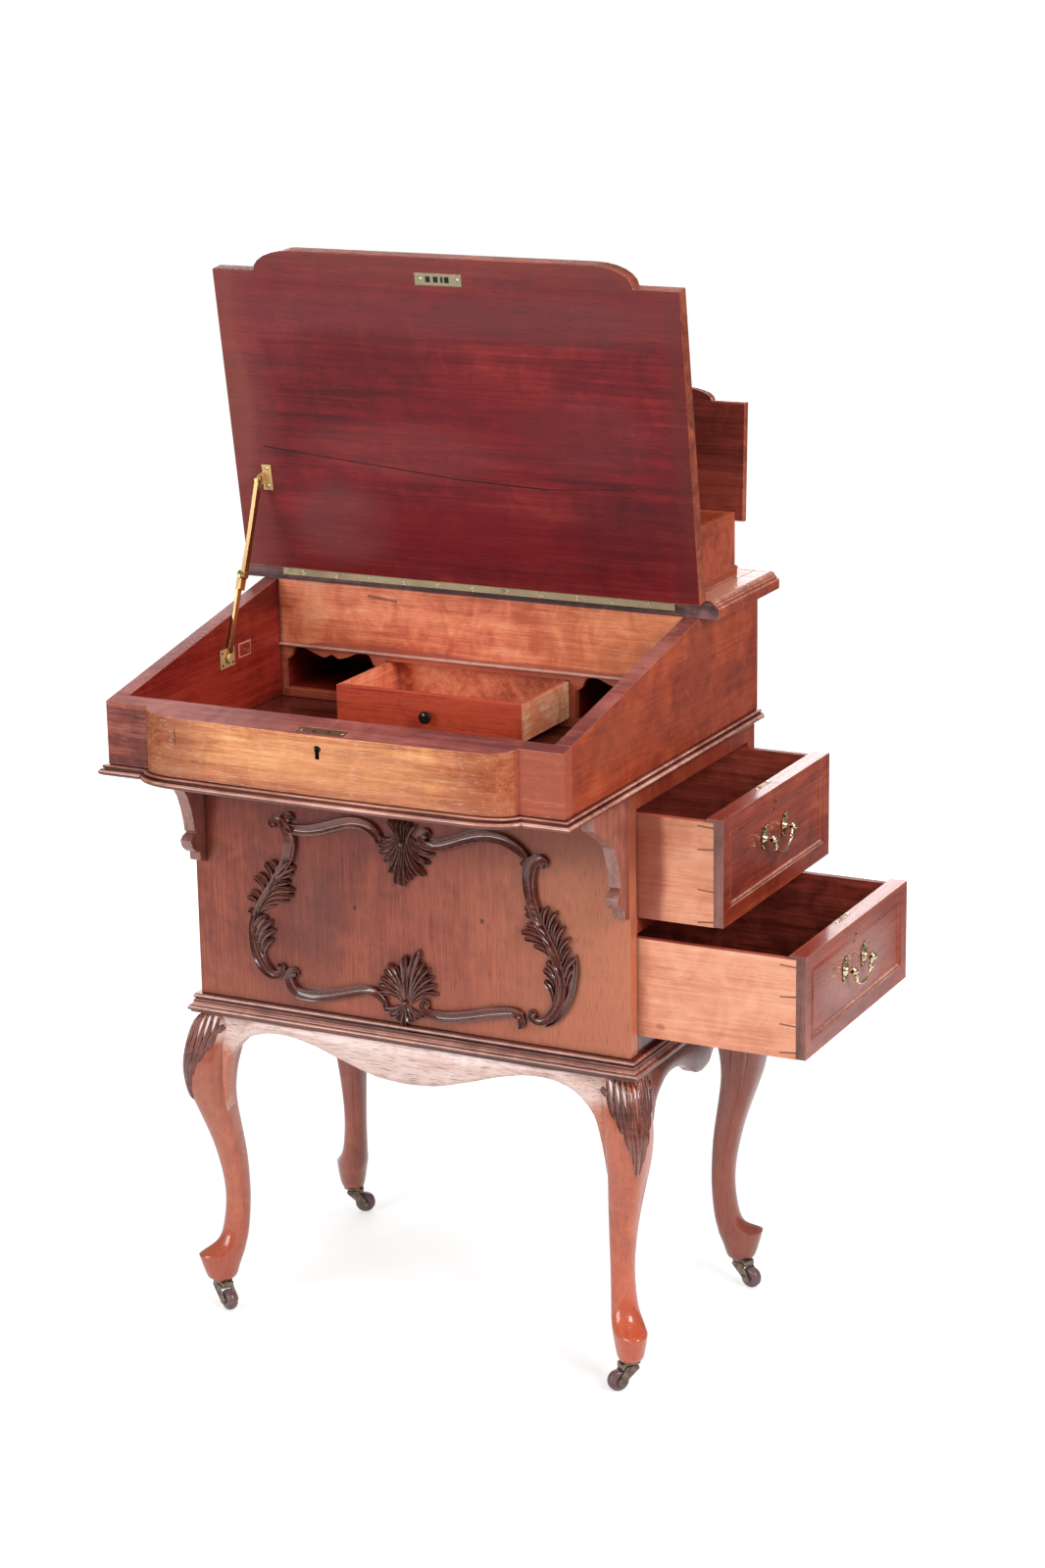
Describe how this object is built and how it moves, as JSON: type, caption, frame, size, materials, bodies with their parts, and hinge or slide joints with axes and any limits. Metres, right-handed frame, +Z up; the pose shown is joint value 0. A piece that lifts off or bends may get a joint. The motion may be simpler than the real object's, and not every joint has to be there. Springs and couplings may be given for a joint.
{
  "type": "davenport desk",
  "caption": "Small sloping writing desk with a lifting lid, stationery box, side drawers and cabriole legs on casters.",
  "frame": {"origin": "on the floor, in the desk's left-right centre plane, level with the flat ends of the writing box's front", "axes": "+X to the sitter's right, where the drawers open; +Y towards the back; +Z up"},
  "size_m": [0.7783, 0.5385, 1.2312],
  "materials": {
    "mahogany": "polished",
    "dark_mahogany": "polished",
    "drawer_lining": "matt",
    "brass": "aged",
    "dark_brass": "tarnished",
    "ebonised_wood": "polished"
  },
  "bodies": {
    "cabinet": {"carcass_left": "mahogany", "carcass_right": "mahogany", "front_rail": "mahogany", "carcass_back": "mahogany", "carcass_floor": "mahogany", "shelf": "mahogany", "well_board": "mahogany", "well_bead": "dark_mahogany", "pigeonhole_case": "mahogany", "rail_lock": "brass", "hinge_leaf_shelf": "brass", "stationery_case": "mahogany", "pedestal_front": "mahogany", "pedestal_left": "mahogany", "pedestal_back": "mahogany", "pedestal_top": "mahogany", "pedestal_divider": "mahogany", "pedestal_base": "mahogany", "bracket_left": "mahogany", "bracket_right": "mahogany", "apron_front": "mahogany", "apron_back": "mahogany", "apron_left": "mahogany", "apron_right": "mahogany", "leg_front_left": "mahogany", "leg_front_right": "mahogany", "leg_back_left": "mahogany", "leg_back_right": "mahogany", "carving_top": "mahogany", "carving_bottom": "mahogany", "carving_left": "mahogany", "carving_right": "mahogany", "stay_plate": "brass"},
    "writing_lid": {"writing_lid": "mahogany", "hinge_leaf_lid": "brass", "lid_strike": "brass", "stay_bracket": "brass"},
    "stay_upper_arm": {"stay_upper_arm": "brass"},
    "stay_lower_arm": {"stay_lower_arm": "brass"},
    "stationery_lid": {"stationery_lid": "mahogany"},
    "inner_drawer": {"inner_drawer": "drawer_lining", "inner_drawer_knob": "ebonised_wood"},
    "upper_drawer": {"upper_drawer_front": "mahogany", "upper_drawer_box": "drawer_lining", "upper_drawer_post_a": "brass", "upper_drawer_post_b": "brass"},
    "upper_drawer_bail": {"upper_drawer_bail": "brass"},
    "lower_drawer": {"lower_drawer_front": "mahogany", "lower_drawer_box": "drawer_lining", "lower_drawer_post_a": "brass", "lower_drawer_post_b": "brass"},
    "lower_drawer_bail": {"lower_drawer_bail": "brass"},
    "caster_front_left": {"caster_front_left": "dark_brass"},
    "wheel_front_left": {"wheel_front_left": "dark_brass"},
    "caster_front_right": {"caster_front_right": "dark_brass"},
    "wheel_front_right": {"wheel_front_right": "dark_brass"},
    "caster_back_left": {"caster_back_left": "dark_brass"},
    "wheel_back_left": {"wheel_back_left": "dark_brass"},
    "caster_back_right": {"caster_back_right": "dark_brass"},
    "wheel_back_right": {"wheel_back_right": "dark_brass"}
  },
  "joints": [
    {"name": "lid_hinge", "type": "hinge", "parent": "cabinet", "child": "writing_lid", "pos_m": [0, 0.333, 0.85891], "axis": [1, 0, 0], "range_deg": [0, 93.1]},
    {"name": "stay_lid_pivot", "type": "hinge", "parent": "writing_lid", "child": "stay_upper_arm", "pos_m": [-0.2506, 0.28994, 0.96572], "axis": [1, 0, 0], "range_deg": [-149.5, 0.5]},
    {"name": "stay_wall_pivot", "type": "hinge", "parent": "cabinet", "child": "stay_lower_arm", "pos_m": [-0.2531, 0.2178, 0.7737], "axis": [1, 0, 0], "range_deg": [-0.5, 106]},
    {"name": "stationery_lid_hinge", "type": "hinge", "parent": "cabinet", "child": "stationery_lid", "pos_m": [0, 0.4635, 0.93577], "axis": [1, 0, 0], "range_deg": [0, 92.4]},
    {"name": "inner_drawer_slide", "type": "slide", "parent": "cabinet", "child": "inner_drawer", "axis": [0, 1, 0], "range_m": [-0.01, 0.115]},
    {"name": "upper_drawer_slide", "type": "slide", "parent": "cabinet", "child": "upper_drawer", "axis": [1, 0, 0], "range_m": [-0.1, 0.28]},
    {"name": "upper_drawer_bail_swing", "type": "hinge", "parent": "upper_drawer", "child": "upper_drawer_bail", "pos_m": [0.3803, 0.3213, 0.61565], "axis": [0, -1, 0], "range_deg": [-20, 105]},
    {"name": "lower_drawer_slide", "type": "slide", "parent": "cabinet", "child": "lower_drawer", "axis": [1, 0, 0], "range_m": [-0.1945, 0.1855]},
    {"name": "lower_drawer_bail_swing", "type": "hinge", "parent": "lower_drawer", "child": "lower_drawer_bail", "pos_m": [0.4748, 0.3213, 0.479], "axis": [0, -1, 0], "range_deg": [-20, 105]},
    {"name": "swivel_front_left", "type": "hinge", "parent": "cabinet", "child": "caster_front_left", "pos_m": [-0.26451, 0.16749, 0.034], "axis": [0, 0, 1], "continuous": true},
    {"name": "axle_front_left", "type": "hinge", "parent": "caster_front_left", "child": "wheel_front_left", "pos_m": [-0.25152, 0.15999, 0.0125], "axis": [0.5, 0.866, 0], "continuous": true},
    {"name": "swivel_front_right", "type": "hinge", "parent": "cabinet", "child": "caster_front_right", "pos_m": [0.26451, 0.16749, 0.034], "axis": [0, 0, 1], "continuous": true},
    {"name": "axle_front_right", "type": "hinge", "parent": "caster_front_right", "child": "wheel_front_right", "pos_m": [0.25447, 0.15634, 0.0125], "axis": [0.7431, -0.6691, 0], "continuous": true},
    {"name": "swivel_back_left", "type": "hinge", "parent": "cabinet", "child": "caster_back_left", "pos_m": [-0.26451, 0.47851, 0.034], "axis": [0, 0, 1], "continuous": true},
    {"name": "axle_back_left", "type": "hinge", "parent": "caster_back_left", "child": "wheel_back_left", "pos_m": [-0.25091, 0.48485, 0.0125], "axis": [-0.4226, 0.9063, 0], "continuous": true},
    {"name": "swivel_back_right", "type": "hinge", "parent": "cabinet", "child": "caster_back_right", "pos_m": [0.26451, 0.47851, 0.034], "axis": [0, 0, 1], "continuous": true},
    {"name": "axle_back_right", "type": "hinge", "parent": "caster_back_right", "child": "wheel_back_right", "pos_m": [0.279, 0.47463, 0.0125], "axis": [0.2588, 0.9659, 0], "continuous": true}
  ],
  "couplings": [
    {"joint": "stay_lid_pivot", "follows": "lid_hinge", "ratio": -1.593},
    {"joint": "stay_wall_pivot", "follows": "lid_hinge", "ratio": 1.126}
  ]
}
